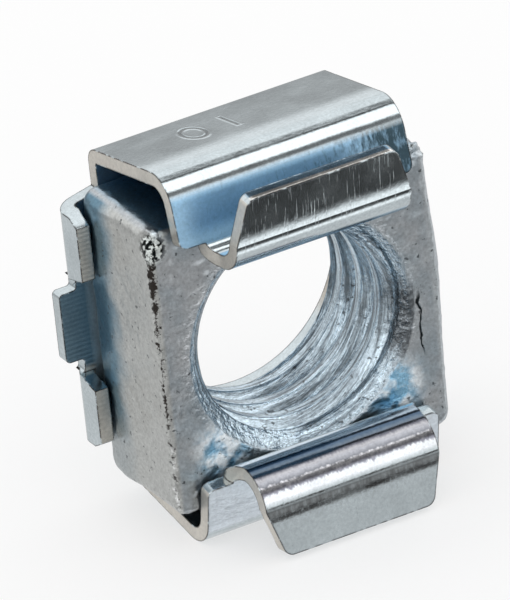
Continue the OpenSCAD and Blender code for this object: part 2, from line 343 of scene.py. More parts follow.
def nut_points(s):
    """Grid of the nut: one row for each step of its section, one column for each direction.

    Going round the section: down the threaded bore from front to rear, out over the rear
    face, round its edge, forwards along the side, round the front edge, and in over the
    front face. The bore's radius is the largest of the front countersink, the rear
    countersink and the thread, whose phase is place along the axis over the pitch plus
    the turn, which makes one right-handed helix.
    """
    mm = {key: getattr(s, key) / MM for key in (
        "pitch", "crest_radius", "thread_depth", "front_rim", "rear_rim",
        "corner", "front_edge", "rear_edge")}
    width, height = 2 * HALF_WIDTH, (NUT_HIGH.z - NUT_LOW.z) / MM
    middle = (NUT_HIGH.z + NUT_LOW.z) / 2 / MM
    core, way = block_outline(width, height, mm["corner"], middle)
    rim = core + mm["corner"] * way
    turn = np.arctan2(rim[:, 1], rim[:, 0])
    round_way = np.stack([np.cos(turn), np.sin(turn)], axis=1)

    depth = np.linspace(FRONT, REAR, 150)[:, None]
    phase = (depth / mm["pitch"] + turn[None] / (2 * math.pi)) % 1.0
    from_crest = np.abs(phase - 0.5) * mm["pitch"]
    groove = np.clip((GROOVE_HALF * mm["pitch"] / COARSE_PITCH - from_crest) / FLANK, 0, 1)
    groove = groove * groove * (3 - 2 * groove)
    thread = mm["crest_radius"] + mm["thread_depth"] * groove
    front_cone = mm["front_rim"] - (depth - FRONT)
    rear_cone = mm["rear_rim"] - (REAR - depth)
    radius = np.maximum(thread, np.maximum(front_cone, rear_cone))
    along = np.broadcast_to(depth[..., None], radius.shape + (1,))
    bore = np.concatenate([radius[..., None] * round_way[None], along], axis=-1)

    def ring(inset, y):
        """One closed line round the block, inset from its sides."""
        flat = core + (mm["corner"] - inset) * way
        return np.concatenate([flat, np.full((len(flat), 1), y)], axis=1)

    def between(first, last, steps):
        """Straight rows from one line to another, without either of them."""
        share = np.linspace(0, 1, steps + 2)[1:-1, None, None]
        return first[None] * (1 - share) + last[None] * share

    quarter = np.linspace(0, math.pi / 2, 9)
    rear_round = np.stack([
        ring(mm["rear_edge"] * (1 - math.sin(q)), REAR - mm["rear_edge"] * (1 - math.cos(q)))
        for q in quarter])
    front_round = np.stack([
        ring(mm["front_edge"] * (1 - math.cos(q)), FRONT + mm["front_edge"] * (1 - math.sin(q)))
        for q in quarter])
    rear_face = between(bore[-1], rear_round[0], 8)
    side = between(rear_round[-1], front_round[0], 26)
    front_face = between(front_round[-1], bore[0], 30)
    flat = np.concatenate([bore, rear_face, rear_round, side, front_round, front_face])
    return flat[..., [0, 2, 1]]


WEAR = {  # how strongly each kind of wear moves the nut's faces, in mm
    "forged_skin": 0.018,
    "side_hollow": 0.12,
    "side_grain": 0.015,
    "pits": 0.10,
    "countersink": 0.05,
    "torn_edge": 0.05,
    "torn_corner": 0.22,
    "right_bulge": 0.24,
}


def wear_nut(points):
    """Moves the nut's grid in and out along its own directions, as forming and shearing do.

    The side faces are hollowed behind their middle and a little grainy, the right side
    bulges, the outside is pitted, the countersink is granular, and the front corner on the
    left and both front corners at the top are torn.
    """
    x, y, z = points[..., 0], points[..., 1], points[..., 2]
    way = outward(points)
    radius = np.hypot(x, z)
    on_side = np.clip((np.abs(x) - HALF_WIDTH + 0.3) / 0.25, 0, 1)
    outside = np.clip((radius - 5.2) / 0.3, 0, 1)
    move = WEAR["forged_skin"] * rough_noise(points, 1.6, 5) * outside
    move -= WEAR["side_hollow"] * on_side * hump(y, 1.2, 0.9)
    move += WEAR["side_grain"] * on_side * rough_noise(points, 0.5, 11) * outside
    pits = np.clip(value_noise(points, 0.32, 21) - 0.45, 0, 1)
    move -= WEAR["pits"] * pits * outside
    granular = hump(radius, 4.85, 0.42) * hump(y, FRONT, 1.0)
    move += WEAR["countersink"] * granular * value_noise(points, 0.24, 31)
    torn_edge = hump(x, -HALF_WIDTH, 0.35) * hump(y, FRONT, 0.35)
    move += WEAR["torn_edge"] * torn_edge * rough_noise(points, 0.35, 41)
    torn_corner = hump(np.abs(x), HALF_WIDTH - 0.1, 0.6) * hump(y, FRONT, 0.7)
    torn_corner = torn_corner * hump(z, NUT_TOP, 0.8)
    move += WEAR["torn_corner"] * torn_corner * rough_noise(points, 0.3, 51)
    moved = points + way * move[..., None]
    to_front = np.clip(1 - (y - FRONT) / 6, 0, 1)
    right_bulge = np.clip(x / HALF_WIDTH, 0, 1) ** 6 * hump(z, 1.0, 3.2) * to_front
    moved[..., 0] += WEAR["right_bulge"] * right_bulge
    return moved


def link(mesh, name):
    """Object of that mesh, standing at the origin."""
    made = bpy.data.objects.new(name, mesh)
    bpy.context.scene.collection.objects.link(made)
    return made


MERGE = 0.035 * MM  # points of the solid closer than this become one
FLAT = math.radians(0.3)  # faces closer to flat than this become one
SHARP = math.radians(35)  # edges more bent than this stay sharp


def sheet_mesh(source, name):
    """Mesh of the folded sheet: a merged copy of its solid, smooth over bends, sharp at edges."""
    work = bmesh.new()
    work.from_mesh(source.data)
    bmesh.ops.remove_doubles(work, verts=work.verts, dist=MERGE)
    bmesh.ops.dissolve_limit(work, angle_limit=FLAT, verts=work.verts, edges=work.edges)
    mesh = bpy.data.meshes.new(name)
    work.to_mesh(mesh)
    work.free()
    if "custom_normal" in mesh.attributes:
        mesh.attributes.remove(mesh.attributes["custom_normal"])
    mesh.materials.clear()
    mesh.polygons.foreach_set("use_smooth", np.ones(len(mesh.polygons), bool))
    mesh.set_sharp_from_angle(angle=SHARP)
    mesh.update()
    return mesh


# ---------------------------------------------------------------- materials


def metal(name):
    """Empty metal material: itself, its tree, Object coordinates in mm, their parts, its shader."""
    made, tree = blank(name)
    place = add(tree, "TexCoord", out="Object")
    place = add(tree, "VectorMath", {0: place, "Scale": 1 / MM}, operation="SCALE")
    parts = add(tree, "SeparateXYZ", [place]).node.outputs
    shader = add(tree, "BsdfPrincipled", {"Metallic": 1.0}).node
    add(tree, "OutputMaterial", [shader.outputs[0]])
    return made, tree, place, parts, shader


BEND_LEVEL = 5.95  # height over the cage's middle where an ear's blade meets its bend, in mm
CAGE_TINTS = {
    "film_shade": "3f525c",  # film on the upper front plate where it has dulled
    "lower_plate": "dbe4ec",  # painted shade that darkens the film on the upper front plate towards its right end
    "crease": "5c5e5f",  # painted reflection: a dark band where the lower ear's blade starts
    "under_top_light": "86b4d2",  # painted light: pale blue on the underside of the top plate, over the shaded nut
    "digits": "707679",  # painted shade in the pressed digits
    "middle_tab": "7f98a6",  # film on the sheared end of the middle tab
    "tip_front_highlight": "f6f4f0",  # painted highlight on the front edge of the upper ear's tip
    "tip_rear_dark_reflection": "86a3b9",  # darker painted reflection on the rear edge of the upper ear's tip
}
REFLECTION_BANDS = (  # how far a surface faces forwards, 0 to 1, and the painted reflection's colour there
    (0.0, "c4d2de"), (0.11, "b0bfcc"), (0.16, "4a5a6c"), (0.28, "4a5a6c"), (0.37, "5e6a76"),
    (0.50, "62626a"), (0.57, "9c9ca0"), (0.64, "96989e"), (0.72, "74767c"), (0.77, "e8e8ec"),
    (0.82, "a0a0aa"), (0.85, "9698a4"), (0.88, "e4e8ec"), (1.0, "e4e8ec"),
)


def cage_material(s):
    """Bright zinc over spring-steel strip, blanked and folded.

    The smooth rolled strip gives clear, slightly wavy reflections of the studio. The
    passivation film tints the upper front plate blue, and painted shade darkens it towards
    its right end. Painted reflections lie in navy, grey and white bands round the bend of the
    lower ear, with a dark painted band where its blade starts. The ears carry fine scratches,
    and the sheared faces are duller and warmer, with ribs from the punch on the ends of the
    tabs. The upper ear's tip has a painted highlight in front and a darker painted reflection
    behind, and painted light brightens the underside of the top plate. The edges are softly
    rounded and drawn dark, partly by stain and partly by painted shade, and here and there
    rubbed bright. A number is pressed into the top plate, with painted shade in its grooves.
    """
    name = "Bright zinc on spring steel strip, blanked and folded"
    made, tree, place, (x, y, z), shader = metal(name)
    tint = {key: linear(code) for key, code in CAGE_TINTS.items()}
    normal = add(tree, "NewGeometry", out="Normal")
    nx, ny, nz = add(tree, "SeparateXYZ", [normal]).node.outputs
    height = add(tree, "Math", [z, CAGE_MIDDLE], operation="SUBTRACT")
    level = add(tree, "Math", [height], operation="ABSOLUTE")
    across = add(tree, "Math", [nx], operation="ABSOLUTE")
    aside = add(tree, "Math", [x], operation="ABSOLUTE")

    # Where the sheet was sheared: the sides of the strip, and the ends of the bent tabs.
    sideways = add(tree, "MapRange", [across, 0.75, 0.85, 0, 1])
    in_strip = add(tree, "MapRange", [aside, 5.5, 5.6, 1, 0])
    strip_edge = add(tree, "Math", [sideways, in_strip], operation="MULTIPLY")
    forwards = add(tree, "MapRange", [ny, -0.7, -0.85, 0, 1])
    at_tab = add(tree, "MapRange", [aside, 6.3, 6.5, 0, 1])
    tab_edge = add(tree, "Math", [forwards, at_tab], operation="MULTIPLY")
    sheared = add(tree, "Math", [strip_edge, tab_edge], operation="MAXIMUM")

    # The front plates lie between the folds and the ears.
    behind = add(tree, "MapRange", [y, -4.3, -4.1, 0, 1])
    upright = add(tree, "MapRange", [ny, -0.84, -0.94, 0, 1])
    plate = add(tree, "Math", [upright, behind], operation="MULTIPLY")
    upper = add(tree, "MapRange", [height, 3.5, 4.5, 0, 1])
    lower = add(tree, "MapRange", [height, -3.5, -4.5, 0, 1])
    lip = add(tree, "Math", [plate, upper], operation="MULTIPLY")
    sill = add(tree, "Math", [plate, lower], operation="MULTIPLY")
    ahead = add(tree, "MapRange", [y, -4.7, -5.0, 0, 1])
    blade = add(tree, "Math", [ahead, forwards], operation="MULTIPLY")
    far = add(tree, "MapRange", [x, 0.8, 5.0, 0, 1], interpolation_type="SMOOTHSTEP")

    cloud = add(tree, "TexNoise", {"Vector": place, "Scale": 0.7, "Detail": 4.0})
    digits = pressed_ten(tree, x, y, z)
    streak = add(tree, "Mapping", {"Vector": place, "Scale": (5.0, 1.6, 1.6)})
    streak = add(tree, "TexNoise", {"Vector": streak, "Scale": 1.0, "Detail": 4.0, "Roughness": 0.7})
    # Painted shade: the film on the upper front plate darkens towards its right end.
    spread = add(tree, "Math", [far, 0.42], operation="MULTIPLY")
    bare = add(tree, "Math", [streak, spread], operation="ADD")
    film_shade = add(tree, "MapRange", [bare, 0.6, 0.9, 0, 1])
    film = add(tree, "Mix", {0: film_shade, 6: (*s.blue_film_and_shade, 1), 7: tint["film_shade"]}, **RGBA)
    colour = add(tree, "Mix", {0: lip, 6: (*s.zinc, 1), 7: film}, **RGBA)
    colour = add(tree, "Mix", {0: sill, 6: colour, 7: tint["lower_plate"]}, **RGBA)
    # Painted reflection: navy, grey and white bands along the bend of the lower ear, set by how far the
    # surface faces forwards.
    turn = add(tree, "Math", [ny, -1.0], operation="MULTIPLY")
    streaky = add(tree, "MapRange", [streak, 0.3, 0.7, -0.03, 0.03])
    turn = add(tree, "Math", [turn, streaky], operation="ADD")
    bands = add(tree, "ValToRGB", [turn])
    fill_ramp(bands.node.color_ramp, [(at, linear(code)) for at, code in REFLECTION_BANDS])
    convex = add(tree, "MapRange", [nz, 0.25, 0.35, 0, 1])
    bent = add(tree, "Math", [convex, lower], operation="MULTIPLY")
    in_front = add(tree, "MapRange", [y, -3.8, -4.0, 0, 1])
    bent = add(tree, "Math", [bent, in_front], operation="MULTIPLY")
    colour = add(tree, "Mix", {0: bent, 6: colour, 7: bands}, **RGBA)
    # A dark band of painted reflection lies where the blade of that ear runs into its bend.
    over = add(tree, "MapRange", [height, -6.4, -6.15, 0, 1])
    under = add(tree, "MapRange", [height, -5.95, -5.8, 1, 0])
    crease = add(tree, "Math", [over, under], operation="MULTIPLY")
    crease = add(tree, "Math", [crease, blade], operation="MULTIPLY")
    ragged = add(tree, "MapRange", [streak, 0.3, 0.7, 0.75, 1.0])
    crease = add(tree, "Math", [crease, ragged], operation="MULTIPLY")
    colour = add(tree, "Mix", {0: crease, 6: colour, 7: tint["crease"]}, **RGBA)
    # Painted light: the underside of the top plate gets a pale blue, as if light reached it.
    painted_light_under_top = add(tree, "MapRange", [nz, -0.6, -0.8, 0, 1])
    painted_light_under_top = add(tree, "Math", [painted_light_under_top, upper], operation="MULTIPLY")
    colour = add(tree, "Mix", {0: painted_light_under_top, 6: colour, 7: tint["under_top_light"]}, **RGBA)
    # Painted shade darkens the floors of the pressed digits.
    groove_shade = add(tree, "MapRange", [digits, -0.045, -0.015, 0.6, 0])
    colour = add(tree, "Mix", {0: groove_shade, 6: colour, 7: tint["digits"]}, **RGBA)
    middle_tab = add(tree, "MapRange", [level, 2.0, 1.8, 0, 1])
    cut = add(tree, "Mix", {0: middle_tab, 6: (*s.sheared, 1), 7: tint["middle_tab"]}, **RGBA)
    colour = add(tree, "Mix", {0: sheared, 6: colour, 7: cut}, **RGBA)
    # Painted highlight on the front half of the upper ear's tip, and a darker painted reflection on its
    # rear half.
    at_tip = add(tree, "MapRange", [height, 7.85, 7.95, 0, 1])
    level_face = add(tree, "MapRange", [nz, 0.85, 0.95, 0, 1])
    tip = add(tree, "Math", [at_tip, level_face], operation="MULTIPLY")
    tip = add(tree, "Math", [tip, ahead], operation="MULTIPLY")
    rear_half = add(tree, "MapRange", [y, -6.05, -5.95, 0, 1])
    tip_tint = add(tree, "Mix", {0: rear_half, 6: tint["tip_front_highlight"], 7: tint["tip_rear_dark_reflection"]}, **RGBA)
    colour = add(tree, "Mix", {0: tip, 6: colour, 7: tip_tint}, **RGBA)
    shade = add(tree, "MapRange", [cloud, 0.3, 0.7, 0.9, 1.05])
    colour = add(tree, "VectorMath", {0: colour, "Scale": shade}, operation="SCALE")
    grain = add(tree, "TexNoise", {"Vector": place, "Scale": 7.0, "Detail": 2.0, "Roughness": 0.7})
    shade = add(tree, "MapRange", [grain, 0.3, 0.7, 0.88, 1.06])
    colour = add(tree, "VectorMath", {0: colour, "Scale": shade}, operation="SCALE")

    # Burr stains and painted shade make the edges dark lines, in concave corners too, broken by bright
    # specks where they are rubbed.
    rounded = add(tree, "Bevel", {"Radius": s.edge_radius}, samples=6)
    turned = add(tree, "VectorMath", [rounded, normal], "Value", operation="DOT_PRODUCT")
    edge = add(tree, "MapRange", [turned, 0.997, 0.95, 0, 1])
    wear = add(tree, "TexNoise", {"Vector": place, "Scale": 1.7, "Detail": 4.0, "Roughness": 0.7})
    wear = add(tree, "MapRange", [wear, 0.52, 0.6, 0, 1])
    wear = add(tree, "Mix", {0: wear, 6: (*s.stain_and_shade, 1), 7: (*s.zinc, 1)}, **RGBA)
    colour = add(tree, "Mix", {0: edge, 6: colour, 7: wear}, **RGBA)
    tree.links.new(colour, shader.inputs["Base Color"])
    rough = add(tree, "MapRange", [cloud, 0.3, 0.7, 0.09, 0.16])
    rough = add(tree, "Mix", {0: plate, 2: rough, 3: 0.36}, **FLOAT)
    rough = add(tree, "Mix", {0: sheared, 2: rough, 3: 0.42}, **FLOAT)
    tree.links.new(rough, shader.inputs["Roughness"])

    # Relief in mm: waves left by folding, rubs on the lower front plate, scratches up the
    # ears and ribs on the ends of the tabs.
    wave = add(tree, "TexNoise", {"Vector": place, "Scale": 0.45, "Detail": 1.0})
    wave = add(tree, "Math", [wave, 0.02], operation="MULTIPLY")
    fine = add(tree, "TexNoise", {"Vector": place, "Scale": 5.0, "Detail": 3.0})
    fine = add(tree, "Math", [fine, 0.003], operation="MULTIPLY")
    rubbed = add(tree, "Mapping", {"Vector": place, "Rotation": (0, 0.5, 0), "Scale": (1.5, 4.0, 4.0)})
    rubbed = add(tree, "TexNoise", {"Vector": rubbed, "Scale": 1.0, "Detail": 4.0, "Roughness": 0.7})
    rubbed = add(tree, "Math", [rubbed, sill], operation="MULTIPLY")
    rubbed = add(tree, "Math", [rubbed, 0.04], operation="MULTIPLY")
    scratch = add(tree, "Mapping", {"Vector": place, "Scale": (16.0, 0.8, 0.8)})
    scratch = add(tree, "TexNoise", {"Vector": scratch, "Scale": 1.0, "Detail": 3.0})
    scratch = add(tree, "MapRange", [scratch, 0.62, 0.78, 0, -0.006])
    scratch = add(tree, "Math", [scratch, blade], operation="MULTIPLY")
    ribs = add(tree, "Math", [z, 2 * math.pi / 0.2], operation="MULTIPLY")
    ribs = add(tree, "Math", [ribs], operation="SINE")
    ribs = add(tree, "Math", [ribs, cloud], operation="MULTIPLY")
    ribs = add(tree, "Math", [ribs, 0.006], operation="MULTIPLY")
    ribs = add(tree, "Math", [ribs, tab_edge], operation="MULTIPLY")
    # The ears are a little round: their blades lean back towards the bends.
    deepest = s.ear_round_level - BEND_LEVEL
    down = add(tree, "MapRange", [level, s.ear_round_level, BEND_LEVEL, 0, deepest])
    curve = add(tree, "Math", [down, down], operation="MULTIPLY")
    curve = add(tree, "Math", [curve, -s.ear_round], operation="MULTIPLY")
    in_ear = add(tree, "MapRange", [y, -5.3, -4.0, 1, 0])
    curve = add(tree, "Math", [curve, in_ear], operation="MULTIPLY")
    # The top plate droops a little towards its front fold.
    droop = add(tree, "Math", [-0.5, y], operation="SUBTRACT")
    droop = add(tree, "Math", [droop, 0.0], operation="MAXIMUM")
    droop = add(tree, "Math", [droop, droop], operation="MULTIPLY")
    droop = add(tree, "Math", [droop, -0.034], operation="MULTIPLY")
    on_top = add(tree, "MapRange", [nz, 0.9, 0.95, 0, 1])
    droop = add(tree, "Math", [droop, on_top], operation="MULTIPLY")
    relief = wave
    for part in (fine, scratch, rubbed, ribs, curve, droop, digits):
        relief = add(tree, "Math", [relief, part], operation="ADD")
    bump = add(tree, "Bump", {"Height": relief, "Strength": 1.0, "Distance": MM, "Normal": rounded})
    tree.links.new(bump, shader.inputs["Normal"])
    return made


# Places and sizes of the pressed digits, in mm.
NOUGHT_X = -1.85  # middle of the nought
ONE_X = -0.2  # middle of the one
DIGIT_Y = 1.0  # middle of both digits
HALF_WIDE = 0.45  # of the nought's ring
HALF_TALL = 0.8  # of both digits
TOP_LEVEL = 6.5  # the top plate lies over this height from the cage's middle


def pressed_ten(tree, x, y, z):
    """Relief in mm of a plain number 10 pressed into the top plate, read from behind.

    The nought is a ring: how far a point's distance from its centre, measured in its own
    half width and half height, is from 1. The one is a straight line. A groove's floor is
    flat, and its edges rise a little above the plate.
    """
    over = add(tree, "Math", [x, -NOUGHT_X], operation="ADD")
    over = add(tree, "Math", [over, HALF_WIDE], operation="DIVIDE")
    along = add(tree, "Math", [y, DIGIT_Y], operation="SUBTRACT")
    up = add(tree, "Math", [along, HALF_TALL], operation="DIVIDE")
    over_2 = add(tree, "Math", [over, over], operation="MULTIPLY")
    up_2 = add(tree, "Math", [up, up], operation="MULTIPLY")
    ring = add(tree, "Math", [over_2, up_2], operation="ADD")
    ring = add(tree, "Math", [ring], operation="SQRT")
    ring = add(tree, "Math", [ring, 1.0], operation="SUBTRACT")
    ring = add(tree, "Math", [ring, HALF_WIDE], operation="MULTIPLY")
    ring = add(tree, "Math", [ring], operation="ABSOLUTE")
    stem = add(tree, "Math", [x, -ONE_X], operation="ADD")
    stem = add(tree, "Math", [stem], operation="ABSOLUTE")
    reach = add(tree, "Math", [along], operation="ABSOLUTE")
    past = add(tree, "Math", [reach, HALF_TALL], operation="SUBTRACT")
    stem = add(tree, "Math", [stem, past], operation="MAXIMUM")
    apart = add(tree, "Math", [ring, stem], operation="MINIMUM")
    groove = add(tree, "MapRange", [apart, 0.02, 0.09, -0.05, 0.01], interpolation_type="SMOOTHSTEP")
    lip = add(tree, "MapRange", [apart, 0.09, 0.2, 0, -0.01], interpolation_type="SMOOTHSTEP")
    groove = add(tree, "Math", [groove, lip], operation="ADD")
    top = CAGE_MIDDLE + TOP_LEVEL
    on_top = add(tree, "MapRange", [z, top, top + 0.1, 0, 1])
    return add(tree, "Math", [groove, on_top], operation="MULTIPLY")


NUT_TINTS = {
    "mottle": "adb8bf",  # cooler clouds in the dull zinc
    "bore": "b9c8d2",  # zinc in the bore
    "left_side": "c3c5c3",  # warm grey at the front of the left side
    "right_side": "c3cace",  # the same on the right
    "side_rear_shade": "6c8c9e",  # painted shade, teal, towards the rear of both sides
    "film": "98c9e6",  # painted reflection of the lower ear, blue, in the lower corners of the front face
    "painted_glint": "f0f7fb",  # painted highlights, white spots in that reflection
    "pit": "4a4f52",
    "rubbed": "f2f4f4",  # bright rubbed metal low on the torn corner, partly a painted highlight
    "scale_dark": "15191a",  # the flaky corner's two colours
    "scale_light": "eef4f2",
    "burnt_dark": "4c4f52",  # the burnt patch's two colours
    "burnt_light": "8c9398",
    "crack": "23282b",
}
# Places of the marks on the nut, in mm.
FILM_X, FILM_Z = 4.0, -3.9  # middle of each patch of painted reflection, the left one mirrored
FLAKE_AT = (-HALF_WIDTH + 0.2, FRONT + 0.1, NUT_TOP - 0.7)
BURNT_AT = (4.9, FRONT + 0.2, -1.2)
CRACK_X, CRACK_Z = 4.95, -1.4  # middle of the crack before noise bends it


def nut_material(s):
    """Dull zinc over cold-forged steel, with a tapped bore.

    The rough forged skin scatters light evenly, with small dark pits. The side faces turn
    teal towards the rear as painted shade, the steel torn along the front corner on the left
    is dark, with bright rubbed specks low down that are partly a painted highlight, and the
    tap left fine bright and dark lines round the bore, which low on the left is lifted by a
    painted highlight. The block's top under the cage carries painted blue shade. A blue
    painted reflection of the lower ear lies in the front face's lower corners, with white
    painted highlights, the countersink is burnt dark on the right, and a thin crack runs
    beside it.
    """
    made, tree, place, (x, y, z), shader = metal("Dull zinc on cold-forged steel, tapped")
    tint = {key: linear(code) for key, code in NUT_TINTS.items()}
    normal = add(tree, "NewGeometry", out="Normal")
    _, ny, nz = add(tree, "SeparateXYZ", [normal]).node.outputs
    x_2 = add(tree, "Math", [x, x], operation="MULTIPLY")
    z_2 = add(tree, "Math", [z, z], operation="MULTIPLY")
    radius = add(tree, "Math", [x_2, z_2], operation="ADD")
    radius = add(tree, "Math", [radius], operation="SQRT")
    in_bore = add(tree, "MapRange", [radius, 5.1, 4.95, 0, 1])
    aside = add(tree, "Math", [x], operation="ABSOLUTE")
    on_side = add(tree, "MapRange", [aside, HALF_WIDTH - 0.35, HALF_WIDTH - 0.2, 0, 1])
    on_front = add(tree, "MapRange", [ny, -0.7, -0.85, 0, 1])

    cloud = add(tree, "TexNoise", {"Vector": place, "Scale": 0.6, "Detail": 5.0})
    mottle = add(tree, "MapRange", [cloud, 0.35, 0.65, 0, 1])
    colour = add(tree, "Mix", {0: mottle, 6: (*s.zinc, 1), 7: tint["mottle"]}, **RGBA)
    colour = add(tree, "Mix", {0: in_bore, 6: colour, 7: tint["bore"]}, **RGBA)

    # Side faces: blue-green painted shade towards the rear, near the cage's back plate and tabs, warm
    # grey in front.
    ragged = add(tree, "Math", [cloud, 1.6], operation="MULTIPLY")
    where = add(tree, "Math", [y, ragged], operation="ADD")
    behind = add(tree, "MapRange", [where, 0.8, 2.1, 0, 1], interpolation_type="SMOOTHSTEP")
    foot = add(tree, "MapRange", [z, -4.6, -2.8, 0.25, 1], interpolation_type="SMOOTHSTEP")
    behind = add(tree, "Math", [behind, foot], operation="MULTIPLY")
    on_right = add(tree, "MapRange", [x, -1.0, 1.0, 0, 1])
    grey = add(tree, "Mix", {0: on_right, 6: tint["left_side"], 7: tint["right_side"]}, **RGBA)
    shaded_flank = add(tree, "Mix", {0: behind, 6: grey, 7: tint["side_rear_shade"]}, **RGBA)
    colour = add(tree, "Mix", {0: on_side, 6: colour, 7: shaded_flank}, **RGBA)

    # Painted shade: the block's top under the cage's top plate is a dark blue.
    on_top = add(tree, "MapRange", [nz, 0.75, 0.9, 0, 1])
    inner = add(tree, "MapRange", [aside, 5.95, 5.6, 0, 1])
    above = add(tree, "MapRange", [z, NUT_TOP - 1.0, NUT_TOP - 0.8, 0, 1])
    shaded = add(tree, "Math", [on_top, inner], operation="MULTIPLY")
    shaded = add(tree, "Math", [shaded, above], operation="MULTIPLY")
    colour = add(tree, "Mix", {0: shaded, 6: colour, 7: (*s.blue_film_and_shade, 1)}, **RGBA)

    # Painted reflection of the lower ear: blue in the corners over it, with white painted highlights.
    from_x = add(tree, "Math", [aside, FILM_X], operation="SUBTRACT")
    from_z = add(tree, "Math", [z, -FILM_Z], operation="ADD")
    ear_reflection = add(tree, "CombineXYZ", [from_x, 0.0, from_z])
    ear_reflection = add(tree, "VectorMath", [ear_reflection], "Value", operation="LENGTH")
    ear_reflection = add(tree, "MapRange", [ear_reflection, 1.7, 0.5, 0, 1], interpolation_type="SMOOTHSTEP")
    ear_reflection = add(tree, "Math", [ear_reflection, on_front], operation="MULTIPLY")
    outer = add(tree, "Math", [1.0, in_bore], operation="SUBTRACT")
    ear_reflection = add(tree, "Math", [ear_reflection, outer], operation="MULTIPLY")
    lump = add(tree, "TexNoise", {"Vector": place, "Scale": 1.3, "Detail": 5.0})
    glint = add(tree, "MapRange", [lump, 0.42, 0.6, 0, 1])
    film = add(tree, "Mix", {0: glint, 6: tint["film"], 7: tint["painted_glint"]}, **RGBA)
    colour = add(tree, "Mix", {0: ear_reflection, 6: colour, 7: film}, **RGBA)

    # Pits, and steel torn along the front corner on the left.
    speck = add(tree, "TexNoise", {"Vector": place, "Scale": 3.6, "Detail": 2.0})
    pit = add(tree, "MapRange", [speck, 0.66, 0.71, 0, 0.8])
    colour = add(tree, "Mix", {0: pit, 6: colour, 7: tint["pit"]}, **RGBA)
    from_corner = add(tree, "Math", [x, HALF_WIDTH - 0.1], operation="ADD")
    from_corner = add(tree, "Math", [from_corner], operation="ABSOLUTE")
    from_front = add(tree, "Math", [y, FRONT + 0.12], operation="SUBTRACT")
    from_front = add(tree, "Math", [from_front], operation="ABSOLUTE")
    far = add(tree, "Math", [from_corner, from_front], operation="MAXIMUM")
    tear = add(tree, "TexNoise", {"Vector": place, "Scale": 3.4, "Detail": 4.0, "Roughness": 0.7})
    tear = add(tree, "Math", [tear, 0.6], operation="MULTIPLY")
    wide = add(tree, "MapRange", [z, 1.5, 6.0, -0.23, -0.09])
    tear = add(tree, "Math", [tear, wide], operation="ADD")
    torn = add(tree, "Math", [tear, far], operation="SUBTRACT")
    torn = add(tree, "MapRange", [torn, 0.0, 0.06, 0, 1])
    # Low on the torn corner, bright rubbed specks that are partly a painted highlight.
    rubbed = add(tree, "MapRange", [speck, 0.42, 0.5, 0, 1])
    low = add(tree, "MapRange", [z, -2.6, -3.4, 0, 1])
    rubbed = add(tree, "Math", [rubbed, low], operation="MULTIPLY")
    steel = add(tree, "Mix", {0: rubbed, 6: (*s.sheared, 1), 7: tint["rubbed"]}, **RGBA)
    colour = add(tree, "Mix", {0: torn, 6: colour, 7: steel}, **RGBA)

    # Flaky corner at the top left, and a burnt patch on the countersink.
    flake = add(tree, "VectorMath", {0: place, 1: FLAKE_AT}, "Value", operation="DISTANCE")
    flake = add(tree, "MapRange", [flake, 0.75, 0.45, 0, 1])
    scale = add(tree, "TexNoise", {"Vector": place, "Scale": 5.0, "Detail": 3.0})
    scale = add(tree, "MapRange", [scale, 0.46, 0.54, 0, 1])
    flaky = add(tree, "Mix", {0: scale, 6: tint["scale_dark"], 7: tint["scale_light"]}, **RGBA)
    colour = add(tree, "Mix", {0: flake, 6: colour, 7: flaky}, **RGBA)
    burnt = add(tree, "VectorMath", {0: place, 1: BURNT_AT}, "Value", operation="DISTANCE")
    patchy = add(tree, "Math", [speck, 1.6], operation="MULTIPLY")
    burnt = add(tree, "Math", [burnt, patchy], operation="ADD")
    burnt = add(tree, "MapRange", [burnt, 2.9, 1.9, 0, 1])
    rim = add(tree, "MapRange", [radius, 5.3, 5.2, 0, 1])
    burnt = add(tree, "Math", [burnt, rim], operation="MULTIPLY")
    shallow = add(tree, "MapRange", [y, FRONT + 1.0, FRONT + 0.7, 0, 1])
    burnt = add(tree, "Math", [burnt, shallow], operation="MULTIPLY")
    sooty = add(tree, "MapRange", [scale, 0.75, 1, 0.3, 0.9])
    sooty = add(tree, "Mix", {0: sooty, 6: tint["burnt_dark"], 7: tint["burnt_light"]}, **RGBA)
    colour = add(tree, "Mix", {0: burnt, 6: colour, 7: sooty}, **RGBA)

    # A thin crack runs down the front face on the right.
    bend = add(tree, "TexNoise", {"Vector": place, "Scale": 1.1, "Detail": 3.0})
    bend = add(tree, "Math", [bend, 0.9], operation="MULTIPLY")
    line = add(tree, "Math", [x, bend], operation="SUBTRACT")
    line = add(tree, "Math", [line, CRACK_X], operation="SUBTRACT")
    line = add(tree, "Math", [line], operation="ABSOLUTE")
    line = add(tree, "MapRange", [line, 0.03, 0.07, 1, 0])
    middle = add(tree, "Math", [z, -CRACK_Z], operation="ADD")
    middle = add(tree, "Math", [middle], operation="ABSOLUTE")
    span = add(tree, "MapRange", [middle, 1.1, 1.6, 1, 0])
    line = add(tree, "Math", [line, span], operation="MULTIPLY")
    crack = add(tree, "Math", [line, on_front], operation="MULTIPLY")
    colour = add(tree, "Mix", {0: crack, 6: colour, 7: tint["crack"]}, **RGBA)
    grain = add(tree, "TexNoise", {"Vector": place, "Scale": 7.0, "Detail": 2.0, "Roughness": 0.7})
    shade = add(tree, "MapRange", [grain, 0.3, 0.7, 0.8, 1.1])
    colour = add(tree, "VectorMath", {0: colour, "Scale": shade}, operation="SCALE")

